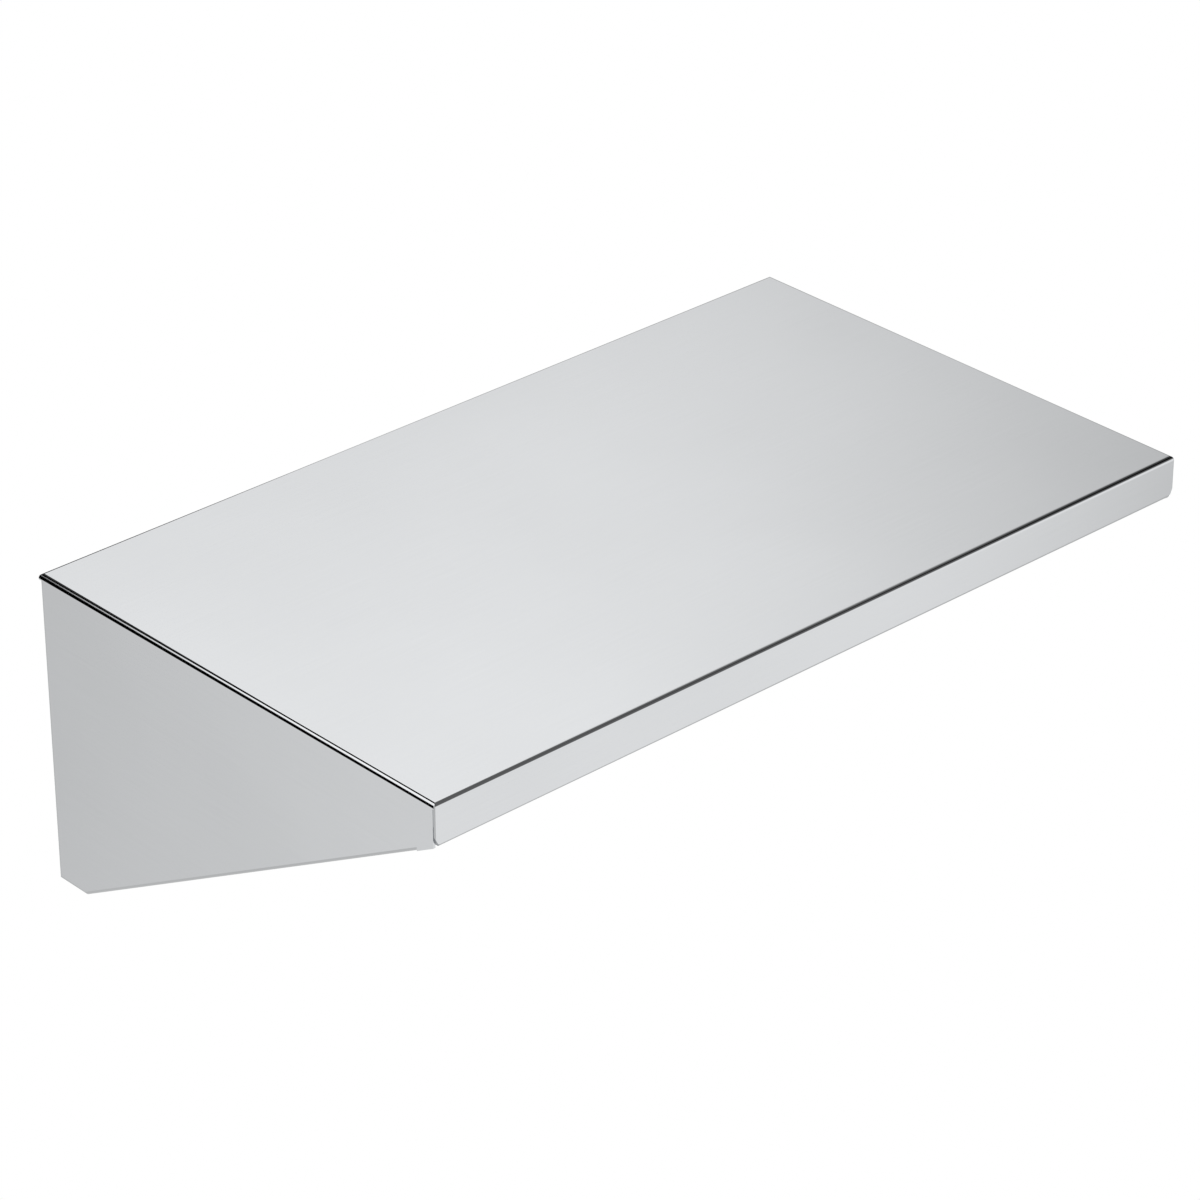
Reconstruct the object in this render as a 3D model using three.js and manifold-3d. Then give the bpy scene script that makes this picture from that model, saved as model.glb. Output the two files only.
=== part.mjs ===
// A stainless steel wall shelf: a folded deck on two folded end brackets, bolted together under the deck.
// Millimetres, +Z up. X runs along the wall, the wall is the plane Y = 0 and the shelf reaches out to -Y.
// The origin is the middle of the deck's rear flange, on the face that meets the wall.
import * as THREE from "three";
import { mergeVertices } from "three/addons/utils/BufferGeometryUtils.js";
import Module from "manifold-3d";

// Overall sizes.
const WIDTH = 560;
const DEPTH = 330;
const BRACKET_HEIGHT = 197;
const LIP_HEIGHT = 26;
const FOOT_LENGTH = 25;
const REAR_FLANGE_HEIGHT = 38;

// Sheets and folds. A fold's radius is that of its outer face.
const DECK_SHEET = 0.8;
const BRACKET_SHEET = 1.5;
const STIFFENER_SHEET = 1.2;
const DECK_FOLD_RADIUS = 2.8;
const LIP_RETURN_FOLD_RADIUS = 1.8;
const STIFFENER_FOLD_RADIUS = 2.2;
const SIDE_EDGE_STRAIGHT = 0.4;
const LIP_RETURN_LENGTH = 12;
const LIP_END_TAPER_HEIGHT = 6.5;

// Bracket flanges.
const WALL_FLANGE_WIDTH = 30;
const DECK_FLANGE_WIDTH = 22;
const EDGE_RETURN_WIDTH = 12;
const EDGE_RETURN_FRONT_GAP = 3.5;
const FRONT_TAB_OVERLAP = 14;
const RELIEF_WIDTH = 1;
const REAR_NOTCH_LENGTH = 4;

// Stiffener: a hat channel whose two feet lie against the deck.
const STIFFENER_DEPTH = 14;
const STIFFENER_CROWN_WIDTH = 38;
const STIFFENER_FOOT_WIDTH = 13;
const STIFFENER_END_GAP = 3;

// Openings for the wall screws.
const SCREW_SLOT_WIDTH = 7;
const FLANGE_SLOT_LENGTH = 20;
const FLANGE_SLOT_INSET = 44.4;
const KEYHOLE_HEAD_DIAMETER = 13;
const KEYHOLE_NECK_LENGTH = 12;
const KEYHOLE_DROP = 44;
const LOWER_SLOT_LENGTH = 14;
const LOWER_SLOT_RISE = 30;

// M5 weld studs, washers and nuts.
const STUD_DIAMETER = 5;
const STUD_LENGTH = 12;
const STUD_TIP_CHAMFER = 0.6;
const STUD_BASE_DIAMETER = 6.5;
const STUD_BASE_THICKNESS = 0.7;
const STUD_END_MARGIN = 45;
const STUDS_PER_BRACKET = 3;
const WASHER_DIAMETER = 15;
const WASHER_THICKNESS = 1.2;
const NUT_ACROSS_FLATS = 8;
const NUT_HEIGHT = 4.7;
const NUT_CORNER_CHAMFER = 0.45;
const NUT_TURN_STEP = THREE.MathUtils.degToRad(23);

// Clearances.
const CONTACT_GAP = 0.1;
const FOLD_CLEARANCE = 0.5;
const SIDE_EDGE_GAP = 0.4;
const CORNER_SEAM_GAP = 1.7;
const FLANGE_END_GAP = 1.5;
const RETURN_END_GAP = 0.5;
const FRONT_TAB_END_GAP = 3.3;
const WASHER_FOLD_GAP = 1.25;
const STUD_HOLE_CLEARANCE = 0.25;
const THREAD_CLEARANCE = 0.15;

// Facets of the curved faces.
const FOLD_SEGMENTS = 4;
const ROUND_SEGMENTS = 16;

// Places that follow from the sizes. Heights are counted from the deck's top face, z = 0 inside the group.
const DECK_TOP_HEIGHT = REAR_FLANGE_HEIGHT / 2;
const DECK_INNER_RADIUS = DECK_FOLD_RADIUS - DECK_SHEET;
const SIDE_EDGE_DROP = DECK_FOLD_RADIUS + SIDE_EDGE_STRAIGHT;
const BRACKET_FOLD_RADIUS = DECK_INNER_RADIUS + FOLD_CLEARANCE;
const BRACKET_TOP = -(DECK_SHEET + CONTACT_GAP);
const WEB_X = WIDTH / 2 - DECK_SHEET - CONTACT_GAP;
const WEB_INNER_X = WEB_X - BRACKET_SHEET;
const FOLD_END_X = WEB_X - BRACKET_FOLD_RADIUS;
const WALL_FLANGE_INNER_X = WEB_X - WALL_FLANGE_WIDTH;
const DECK_FLANGE_INNER_X = WEB_X - DECK_FLANGE_WIDTH;
const REAR_FLANGE_HALF_WIDTH = WALL_FLANGE_INNER_X - FLANGE_END_GAP;
const LIP_RETURN_HALF_WIDTH = WEB_INNER_X - RETURN_END_GAP;
const LIP_BACK_Y = -DEPTH + DECK_SHEET;
const TAB_FRONT_Y = LIP_BACK_Y + CONTACT_GAP;
const WEB_FRONT_Y = LIP_BACK_Y + CORNER_SEAM_GAP;
const RETURN_FRONT_Y = -DEPTH + LIP_RETURN_LENGTH + EDGE_RETURN_FRONT_GAP;
const NOTCH_BOTTOM = -(SIDE_EDGE_DROP + SIDE_EDGE_GAP);
const DECK_STUD_X = (FOLD_END_X + DECK_FLANGE_INNER_X) / 2;
const TAB_OUTER_X = FOLD_END_X - RELIEF_WIDTH;
const TAB_STUD_X = (TAB_OUTER_X + DECK_FLANGE_INNER_X) / 2;
const TAB_BOTTOM = -LIP_HEIGHT + LIP_RETURN_FOLD_RADIUS + FRONT_TAB_END_GAP;
const TAB_STUD_Z = BRACKET_TOP - BRACKET_FOLD_RADIUS - WASHER_FOLD_GAP - WASHER_DIAMETER / 2;
const STUD_HOLE_DIAMETER = STUD_BASE_DIAMETER + 2 * STUD_HOLE_CLEARANCE;
const THREAD_HOLE_DIAMETER = STUD_DIAMETER + 2 * THREAD_CLEARANCE;
const PAST = 5; // how far a cutter runs past the faces that it opens

// Frames that turn a drawn outline into place: its own x, y and depth become the axes named.
const AXIS_X = new THREE.Vector3(1, 0, 0);
const AXIS_Y = new THREE.Vector3(0, 1, 0);
const AXIS_Z = new THREE.Vector3(0, 0, 1);
const UP_AND_ALONG = new THREE.Matrix4().makeBasis(AXIS_Y, AXIS_Z, AXIS_X);
const DOWN_AND_ALONG = new THREE.Matrix4().makeBasis(
  AXIS_Y,
  AXIS_Z.clone().negate(),
  AXIS_X.clone().negate(),
);
const FACE_DOWN = new THREE.Matrix4().makeScale(1, -1, -1);
const THROUGH_WALL = new THREE.Matrix4().makeBasis(
  AXIS_X,
  AXIS_Z,
  AXIS_Y.clone().negate(),
);

const wasm = await Module();
wasm.setup();

// A closed three.js geometry as a solid that can be joined and cut.
function solidOf(geometry) {
  const bare = geometry.clone();
  bare.deleteAttribute("normal");
  bare.deleteAttribute("uv");
  const merged = mergeVertices(bare);
  return new wasm.Manifold(
    new wasm.Mesh({
      numProp: 3,
      vertProperties: merged.attributes.position.array,
      triVerts: merged.index.array,
    }),
  );
}

// A finished solid as a three.js geometry with flat faces.
function geometryOf(solid) {
  const mesh = solid.getMesh();
  const indexed = new THREE.BufferGeometry();
  indexed.setAttribute("position", new THREE.BufferAttribute(mesh.vertProperties, 3));
  indexed.setIndex(new THREE.BufferAttribute(mesh.triVerts, 1));
  const geometry = indexed.toNonIndexed();
  geometry.computeVertexNormals();
  return geometry;
}

// The same solid on the other side of the plane X = 0.
function mirrored(geometry) {
  const copy = geometry.clone().applyMatrix4(new THREE.Matrix4().makeScale(-1, 1, 1));
  const position = copy.attributes.position;
  const corner = new THREE.Vector3();
  const other = new THREE.Vector3();
  for (let i = 0; i < position.count; i += 3) {
    corner.fromBufferAttribute(position, i + 1);
    other.fromBufferAttribute(position, i + 2);
    position.setXYZ(i + 1, other.x, other.y, other.z);
    position.setXYZ(i + 2, corner.x, corner.y, corner.z);
  }
  copy.computeVertexNormals();
  return copy;
}

function outlineOf(points) {
  return new THREE.Shape(points.map(([x, y]) => new THREE.Vector2(x, y)));
}

function boxBetween(low, high) {
  const size = new THREE.Vector3(...high).sub(new THREE.Vector3(...low));
  const middle = new THREE.Vector3(...high).add(new THREE.Vector3(...low)).divideScalar(2);
  return solidOf(new THREE.BoxGeometry(size.x, size.y, size.z).translate(middle.x, middle.y, middle.z));
}

function prismOf(outline, depth, frame, offset) {
  const geometry = new THREE.ExtrudeGeometry(outline, {
    depth,
    bevelEnabled: false,
    curveSegments: FOLD_SEGMENTS,
  });
  return solidOf(geometry.applyMatrix4(frame).translate(...offset));
}

// A block over an outline, with its edges rounded at its start; inset moves its sides in from the outline.
function roundedBlock(outline, start, depth, inset, radius) {
  const geometry = new THREE.ExtrudeGeometry(outline, {
    depth: depth - radius,
    bevelThickness: radius,
    bevelSize: radius,
    bevelOffset: -inset - radius,
    bevelSegments: FOLD_SEGMENTS,
  });
  return solidOf(geometry.translate(0, 0, start + radius));
}

// A flat face with the sheet folded up along every side of its outline, to one depth.
function foldedTray(outline, depth, sheet, radius) {
  const outer = roundedBlock(outline, 0, depth, 0, radius);
  const inner = roundedBlock(outline, sheet, depth + PAST, sheet, radius - sheet);
  const reach = WIDTH + DEPTH;
  const level = boxBetween([-reach, -reach, -PAST], [reach, reach, depth]);
  return outer.subtract(inner).intersect(level);
}

// An angle with a rounded fold, from the corner of its outer faces along x and along y.
function angleOutline(alongX, alongY, sheet, radius) {
  const shape = new THREE.Shape();
  shape.moveTo(alongX, 0);
  shape.lineTo(radius, 0);
  shape.absarc(radius, radius, radius, -Math.PI / 2, -Math.PI, true);
  shape.lineTo(0, alongY);
  shape.lineTo(sheet, alongY);
  shape.lineTo(sheet, radius);
  shape.absarc(radius, radius, radius - sheet, Math.PI, 1.5 * Math.PI, false);
  shape.lineTo(alongX, sheet);
  return shape;
}

// A slot with round ends, drawn about its middle, lying along x or upright.
function slotOutline(length, width, upright) {
  const reach = (length - width) / 2;
  const quarter = upright ? Math.PI / 2 : 0;
  const [x, y] = upright ? [0, reach] : [reach, 0];
  const shape = new THREE.Shape();
  shape.absarc(x, y, width / 2, quarter - Math.PI / 2, quarter + Math.PI / 2, false);
  shape.absarc(-x, -y, width / 2, quarter + Math.PI / 2, quarter + 1.5 * Math.PI, false);
  return shape;
}

// A round opening for a screw head with a narrow neck above it, drawn about the top of the neck.
function keyholeOutline() {
  const neck = SCREW_SLOT_WIDTH / 2;
  const head = KEYHOLE_HEAD_DIAMETER / 2;
  const meet = Math.asin(neck / head);
  const shape = new THREE.Shape();
  shape.absarc(0, 0, neck, 0, Math.PI, false);
  shape.absarc(0, -KEYHOLE_NECK_LENGTH, head, Math.PI / 2 + meet, 2.5 * Math.PI - meet, false);
  return shape;
}

function cutThroughWall(outline, sheet, x, z) {
  const geometry = new THREE.ExtrudeGeometry(outline, {
    depth: sheet + 2 * PAST,
    bevelEnabled: false,
    curveSegments: ROUND_SEGMENTS / 2,
  });
  return solidOf(geometry.applyMatrix4(THROUGH_WALL).translate(x, PAST, z));
}

function roundCut(diameter, length) {
  return new THREE.CylinderGeometry(diameter / 2, diameter / 2, length, ROUND_SEGMENTS);
}

// The deck: flat top, side edges rolled over, front lip with a return, rear flange between the brackets.
function deckGeometry() {
  const half = WIDTH / 2;
  const face = outlineOf([
    [-half, 0],
    [half, 0],
    [half, DEPTH],
    [-half, DEPTH],
  ]);
  const tray = foldedTray(face, REAR_FLANGE_HEIGHT, DECK_SHEET, DECK_FOLD_RADIUS);
  let deck = tray.transform(FACE_DOWN.elements);
  for (const side of [-1, 1]) {
    const sideX = [side * REAR_FLANGE_HALF_WIDTH, side * (half + PAST)].sort((a, b) => a - b);
    const low = [sideX[0], LIP_BACK_Y, -REAR_FLANGE_HEIGHT - PAST];
    const high = [sideX[1], PAST, -SIDE_EDGE_DROP];
    deck = deck.subtract(boxBetween(low, high));
  }
  const lipWallBottom = LIP_RETURN_FOLD_RADIUS - LIP_HEIGHT;
  const underLip = boxBetween(
    [-half - PAST, -DEPTH - PAST, -REAR_FLANGE_HEIGHT - PAST],
    [half + PAST, LIP_BACK_Y + PAST, lipWallBottom],
  );
  const lipReturn = prismOf(
    angleOutline(LIP_RETURN_LENGTH, LIP_HEIGHT / 2, DECK_SHEET, LIP_RETURN_FOLD_RADIUS),
    2 * LIP_RETURN_HALF_WIDTH,
    UP_AND_ALONG,
    [-LIP_RETURN_HALF_WIDTH, -DEPTH, -LIP_HEIGHT],
  );
  deck = deck.subtract(underLip).add(lipReturn);
  for (const side of [-1, 1]) {
    deck = deck.subtract(lipEndTaper(side));
    const slot = slotOutline(FLANGE_SLOT_LENGTH, SCREW_SLOT_WIDTH, false);
    const slotX = side * (REAR_FLANGE_HALF_WIDTH - FLANGE_SLOT_INSET);
    deck = deck.subtract(cutThroughWall(slot, DECK_SHEET, slotX, -DECK_TOP_HEIGHT));
  }
  return geometryOf(deck);
}

// The lip's lower corner is dressed back, from its end down to the end of its return.
function lipEndTaper(side) {
  const outline = outlineOf([
    [(side * WIDTH) / 2, -LIP_HEIGHT + LIP_END_TAPER_HEIGHT],
    [side * LIP_RETURN_HALF_WIDTH, -LIP_HEIGHT],
    [side * LIP_RETURN_HALF_WIDTH, -LIP_HEIGHT - PAST],
    [side * (WIDTH / 2 + PAST), -LIP_HEIGHT - PAST],
    [side * (WIDTH / 2 + PAST), -LIP_HEIGHT + LIP_END_TAPER_HEIGHT],
  ]);
  return cutThroughWall(outline, DECK_SHEET, 0, 0).translate([0, -DEPTH, 0]);
}

// How far below the deck's top the bracket's sloped edge is, at a place y.
function slopeZ(y) {
  const rise = (BRACKET_HEIGHT - LIP_HEIGHT) / (DEPTH - FOOT_LENGTH);
  return -LIP_HEIGHT - rise * (y + DEPTH);
}

// The left bracket: web, wall flange, deck flange with a front tab, and returns along the foot and the slope.
function bracketGeometry() {
  const frontY = -DEPTH - PAST;
  const outline = outlineOf([
    [0, BRACKET_TOP],
    [frontY, BRACKET_TOP],
    [frontY, slopeZ(frontY)],
    [-FOOT_LENGTH, -BRACKET_HEIGHT],
    [0, -BRACKET_HEIGHT],
  ]);
  const tray = foldedTray(outline, WALL_FLANGE_WIDTH, BRACKET_SHEET, BRACKET_FOLD_RADIUS);
  let bracket = tray.transform(UP_AND_ALONG.elements).translate([-WEB_X, 0, 0]);
  for (const cutter of bracketCutters()) bracket = bracket.subtract(cutter);
  return geometryOf(bracket.add(webCorner(outline)).add(frontTab()).subtract(studHoles()));
}

// What is cut from the folded tray: the front, the flanges' spare width, and the reliefs between the flanges.
function bracketCutters() {
  const outside = -WEB_X - PAST;
  const inside = -WALL_FLANGE_INNER_X + PAST;
  const below = -BRACKET_HEIGHT - PAST;
  const aboveFoot = -BRACKET_HEIGHT + PAST;
  const returnTop = -LIP_HEIGHT / 2;
  const wallFlangeFace = -BRACKET_SHEET;
  const tabBack = TAB_FRONT_Y + BRACKET_FOLD_RADIUS + PAST;
  const slopeReliefY = -FOOT_LENGTH - RELIEF_WIDTH / 2;
  return [
    boxBetween([outside, -DEPTH - 2 * PAST, below], [inside, WEB_FRONT_Y, PAST]),
    boxBetween([-DECK_FLANGE_INNER_X, -DEPTH, returnTop], [inside, wallFlangeFace, PAST]),
    boxBetween([-FOLD_END_X, -DEPTH, returnTop], [inside, tabBack, PAST]),
    boxBetween([-WEB_X + EDGE_RETURN_WIDTH, -DEPTH, below], [inside, wallFlangeFace, returnTop]),
    boxBetween([-WEB_INNER_X, -DEPTH, below], [inside, RETURN_FRONT_Y, returnTop]),
    boxBetween([outside, -REAR_NOTCH_LENGTH, NOTCH_BOTTOM], [inside, PAST, PAST]),
    boxBetween([-FOLD_END_X, wallFlangeFace - RELIEF_WIDTH, below], [inside, wallFlangeFace, aboveFoot]),
    boxBetween([-FOLD_END_X, slopeReliefY, below], [inside, slopeReliefY + RELIEF_WIDTH, aboveFoot]),
    wallScrewCutter(keyholeOutline(), -KEYHOLE_DROP),
    wallScrewCutter(slotOutline(LOWER_SLOT_LENGTH, SCREW_SLOT_WIDTH, true), LOWER_SLOT_RISE - BRACKET_HEIGHT),
  ];
}

function wallScrewCutter(outline, z) {
  return cutThroughWall(outline, BRACKET_SHEET, -(FOLD_END_X + WALL_FLANGE_INNER_X) / 2, z);
}

// In front of the sloped return the web keeps its full thickness down to the slope.
function webCorner(outline) {
  const plate = prismOf(outline, BRACKET_SHEET, UP_AND_ALONG, [-WEB_X, 0, 0]);
  const corner = boxBetween(
    [-WEB_X - PAST, WEB_FRONT_Y, -BRACKET_HEIGHT],
    [-WEB_INNER_X + PAST, RETURN_FRONT_Y, -LIP_HEIGHT / 2],
  );
  return plate.intersect(corner);
}

// The front end of the deck flange, folded down behind the lip.
function frontTab() {
  const height = BRACKET_TOP - TAB_BOTTOM;
  const outline = angleOutline(FRONT_TAB_OVERLAP, height, BRACKET_SHEET, BRACKET_FOLD_RADIUS);
  const width = TAB_OUTER_X - DECK_FLANGE_INNER_X;
  return prismOf(outline, width, DOWN_AND_ALONG, [-DECK_FLANGE_INNER_X, TAB_FRONT_Y, BRACKET_TOP]);
}

// Where the studs stand along a bracket, from the wall to the front.
function studPlaces() {
  const first = -STUD_END_MARGIN;
  const last = STUD_END_MARGIN - DEPTH;
  const places = [];
  for (let i = 0; i < STUDS_PER_BRACKET; i += 1) {
    places.push(first + ((last - first) * i) / (STUDS_PER_BRACKET - 1));
  }
  return places;
}

function studHoles() {
  const length = 2 * (BRACKET_SHEET + PAST);
  const tabHole = roundCut(STUD_HOLE_DIAMETER, length).translate(-TAB_STUD_X, TAB_FRONT_Y, TAB_STUD_Z);
  let holes = solidOf(tabHole);
  for (const y of studPlaces()) {
    const hole = roundCut(STUD_HOLE_DIAMETER, length).rotateX(Math.PI / 2);
    holes = holes.add(solidOf(hole.translate(-DECK_STUD_X, y, BRACKET_TOP)));
  }
  return holes;
}

// The stiffener: crown, two walls and two feet, as one folded strip along the width.
function stiffenerGeometry() {
  const half = DECK_FLANGE_INNER_X - STIFFENER_END_GAP;
  const crownHalf = STIFFENER_CROWN_WIDTH / 2;
  const footEnd = crownHalf + STIFFENER_FOOT_WIDTH - STIFFENER_SHEET;
  const seat = BRACKET_TOP;
  const middleY = -DEPTH / 2;
  const crownAngle = angleOutline(crownHalf, STIFFENER_DEPTH / 2, STIFFENER_SHEET, STIFFENER_FOLD_RADIUS);
  const footAngle = angleOutline(
    footEnd - crownHalf + STIFFENER_SHEET,
    STIFFENER_DEPTH / 2,
    STIFFENER_SHEET,
    STIFFENER_FOLD_RADIUS,
  );
  const bottom = seat - STIFFENER_DEPTH;
  const crown = prismOf(crownAngle, 2 * half, UP_AND_ALONG, [-half, -crownHalf, bottom]);
  const flippedFoot = prismOf(footAngle, 2 * half, DOWN_AND_ALONG, [half, 0, seat]);
  const foot = flippedFoot.mirror([0, 1, 0]).translate([0, STIFFENER_SHEET - crownHalf, 0]);
  const rearHalf = crown.add(foot);
  const strip = rearHalf.add(rearHalf.mirror([0, 1, 0]));
  return geometryOf(strip.translate([0, middleY, 0]));
}

// A weld stud: round base, threaded length and a small lead at the tip, standing along +Z.
function studGeometry() {
  const radius = STUD_DIAMETER / 2;
  const base = STUD_BASE_DIAMETER / 2;
  const profile = [
    [0, 0],
    [base, 0],
    [base, STUD_BASE_THICKNESS],
    [radius, STUD_BASE_THICKNESS],
    [radius, STUD_LENGTH - STUD_TIP_CHAMFER],
    [radius - STUD_TIP_CHAMFER, STUD_LENGTH],
    [0, STUD_LENGTH],
  ];
  return turned(profile);
}

function turned(profile) {
  const points = profile.map(([r, h]) => new THREE.Vector2(r, h));
  return new THREE.LatheGeometry(points, ROUND_SEGMENTS).rotateX(Math.PI / 2);
}

function washerGeometry() {
  const inner = THREAD_HOLE_DIAMETER / 2;
  const outer = WASHER_DIAMETER / 2;
  const profile = [
    [inner, 0],
    [outer, 0],
    [outer, WASHER_THICKNESS],
    [inner, WASHER_THICKNESS],
    [inner, 0],
  ];
  return turned(profile);
}

// A hex nut whose outer corners are chamfered at both faces.
function nutGeometry() {
  const corner = NUT_ACROSS_FLATS / Math.sqrt(3);
  const prism = new THREE.CylinderGeometry(corner, corner, NUT_HEIGHT, 6).rotateX(Math.PI / 2);
  const flat = NUT_ACROSS_FLATS / 2;
  const rim = corner + NUT_CORNER_CHAMFER;
  const chamfer = turned([
    [0, 0],
    [flat, 0],
    [rim, NUT_CORNER_CHAMFER],
    [rim, NUT_HEIGHT - NUT_CORNER_CHAMFER],
    [flat, NUT_HEIGHT],
    [0, NUT_HEIGHT],
  ]);
  const hole = roundCut(THREAD_HOLE_DIAMETER, NUT_HEIGHT + 2 * PAST).rotateX(Math.PI / 2);
  const body = solidOf(prism.translate(0, 0, NUT_HEIGHT / 2)).intersect(solidOf(chamfer));
  return geometryOf(body.subtract(solidOf(hole)));
}

function deckSteel() {
  return new THREE.MeshStandardMaterial({ color: 0xd6d9dc, roughness: 0.2, metalness: 1 });
}

function bracketSteel() {
  return new THREE.MeshStandardMaterial({ color: 0xc4c8ca, roughness: 0.22, metalness: 1 });
}

function stiffenerSteel() {
  return new THREE.MeshStandardMaterial({ color: 0xb9bcbe, roughness: 0.35, metalness: 1 });
}

function fastenerSteel() {
  return new THREE.MeshStandardMaterial({ color: 0xc8c6c0, roughness: 0.28, metalness: 1 });
}

function namedMesh(name, geometry, material) {
  const mesh = new THREE.Mesh(geometry, material);
  mesh.name = name;
  return mesh;
}

// A stud on the sheet at seat, and the washer and nut on it beyond the bracket's flange.
function studSet(place, seat, direction, turn) {
  const washerStart = CONTACT_GAP + BRACKET_SHEET + CONTACT_GAP;
  const nutStart = washerStart + WASHER_THICKNESS + CONTACT_GAP;
  const pieces = [
    [namedMesh(`weld_stud_${place}`, studGeometry(), fastenerSteel()), CONTACT_GAP],
    [namedMesh(`washer_${place}`, washerGeometry(), fastenerSteel()), washerStart],
    [namedMesh(`hex_nut_${place}`, nutGeometry(), fastenerSteel()), nutStart],
  ];
  const group = new THREE.Group();
  group.position.copy(seat);
  group.quaternion.setFromUnitVectors(AXIS_Z, direction);
  for (const [mesh, start] of pieces) {
    mesh.position.z = start;
    group.add(mesh);
  }
  pieces[2][0].rotation.z = turn;
  return group;
}

function bracketStuds(sideName, side) {
  const down = AXIS_Z.clone().negate();
  const group = new THREE.Group();
  studPlaces().forEach((y, i) => {
    const seat = new THREE.Vector3(side * DECK_STUD_X, y, -DECK_SHEET);
    group.add(studSet(`${sideName}_${i + 1}`, seat, down, i * NUT_TURN_STEP));
  });
  const tabSeat = new THREE.Vector3(side * TAB_STUD_X, LIP_BACK_Y, TAB_STUD_Z);
  group.add(studSet(`${sideName}_front_tab`, tabSeat, AXIS_Y, side * NUT_TURN_STEP));
  return group;
}

function wallShelf() {
  const shelf = new THREE.Group();
  const leftBracket = bracketGeometry();
  shelf.add(
    namedMesh("shelf_deck", deckGeometry(), deckSteel()),
    namedMesh("left_bracket", leftBracket, bracketSteel()),
    namedMesh("right_bracket", mirrored(leftBracket), bracketSteel()),
    namedMesh("deck_stiffener", stiffenerGeometry(), stiffenerSteel()),
    bracketStuds("left", -1),
    bracketStuds("right", 1),
  );
  shelf.position.z = DECK_TOP_HEIGHT;
  const part = new THREE.Group();
  part.add(shelf);
  return part;
}

export default wallShelf();
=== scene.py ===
import math

import bmesh
import bpy
from mathutils import Matrix, Vector


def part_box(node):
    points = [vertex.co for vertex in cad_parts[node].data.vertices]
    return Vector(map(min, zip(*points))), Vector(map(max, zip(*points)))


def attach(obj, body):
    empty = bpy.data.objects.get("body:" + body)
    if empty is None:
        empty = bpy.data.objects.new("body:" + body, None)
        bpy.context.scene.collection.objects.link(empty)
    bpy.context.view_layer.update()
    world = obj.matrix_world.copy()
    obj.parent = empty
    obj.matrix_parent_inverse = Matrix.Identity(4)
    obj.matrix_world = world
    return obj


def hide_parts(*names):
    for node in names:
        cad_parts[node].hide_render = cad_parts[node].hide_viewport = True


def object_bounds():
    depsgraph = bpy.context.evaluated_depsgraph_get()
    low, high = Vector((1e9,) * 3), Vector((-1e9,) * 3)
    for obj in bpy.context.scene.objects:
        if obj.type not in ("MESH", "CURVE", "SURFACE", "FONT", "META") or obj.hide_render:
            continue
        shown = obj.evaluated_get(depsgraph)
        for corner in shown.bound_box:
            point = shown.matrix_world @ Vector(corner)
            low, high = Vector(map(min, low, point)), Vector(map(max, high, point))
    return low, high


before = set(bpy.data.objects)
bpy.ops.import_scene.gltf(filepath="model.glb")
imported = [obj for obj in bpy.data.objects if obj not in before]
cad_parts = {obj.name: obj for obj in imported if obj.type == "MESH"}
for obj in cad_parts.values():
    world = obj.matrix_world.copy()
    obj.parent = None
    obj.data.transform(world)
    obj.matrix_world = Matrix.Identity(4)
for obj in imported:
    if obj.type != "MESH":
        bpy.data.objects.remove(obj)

cad_low, cad_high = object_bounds()

# -------------------------------------------------------------------------------------------------
# Shelf deck: one piece of 0.8 mm brushed stainless sheet, cut flat and folded in a press brake.
# Its side edges are rolled over, its front is turned down into a lip with a return, and its rear
# flange carries two slots for wall screws.
MM = 0.001
PAST = 5 * MM             # how far a cutter runs past the faces that it opens
DECK_SHEET = 0.8 * MM
DECK_FOLD_RADIUS = 2.8 * MM
SIDE_EDGE_STRAIGHT = 0.4 * MM
LIP_HEIGHT = 26 * MM
LIP_RETURN_LENGTH = 12 * MM
LIP_RETURN_FOLD_RADIUS = 1.8 * MM
LIP_RETURN_END_GAP = 2.9 * MM
LIP_END_TAPER_HEIGHT = 6.5 * MM
DECK_CORNER_RADIUS = 0.9 * MM
REAR_FLANGE_END_GAP = 32.4 * MM
FLANGE_SLOT_INSET = 44.4 * MM
FLANGE_SLOT_LENGTH = 20 * MM
SCREW_SLOT_WIDTH = 7 * MM
FOLD_STEPS = 14
ROUND_STEPS = 20
DEBURR = 0.1 * MM         # how far the cut edges of a sheet are eased
SHARP_ANGLE = math.radians(24)
MERGE_DISTANCE = 0.001 * MM         # points of one cut block closer than this become one
CLEAN_DISTANCE = 0.002 * MM         # the same, once a piece has all its cuts
# how far round an edge the steel is made rougher and its colour lightened as a painted highlight
WEAR_AND_HIGHLIGHT_RADIUS = 0.35 * MM

deck_low, deck_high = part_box("shelf_deck")
deck_low, deck_high = Vector(deck_low), Vector(deck_high)


def moved_in(outline, inset, corner_radius):
    """A convex outline, anticlockwise, with its sides moved in and its corners rounded."""
    radius = max(corner_radius - inset, 0)
    ring = []
    for i, corner in enumerate(outline):
        before, after = Vector(outline[i - 1]), Vector(outline[(i + 1) % len(outline)])
        corner = Vector(corner)
        first, second = (corner - before).normalized(), (after - corner).normalized()
        out_first, out_second = Vector((first.y, -first.x)), Vector((second.y, -second.x))
        reach = (inset + radius) / (1 + out_first.dot(out_second))
        centre = corner - (out_first + out_second) * reach
        turn = out_first.angle(out_second)
        start = math.atan2(out_first.y, out_first.x)
        for step in range(ROUND_STEPS // 4 + 1):
            angle = start + turn * step / (ROUND_STEPS // 4)
            ring.append(centre + Vector((math.cos(angle), math.sin(angle))) * radius)
    return ring


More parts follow.
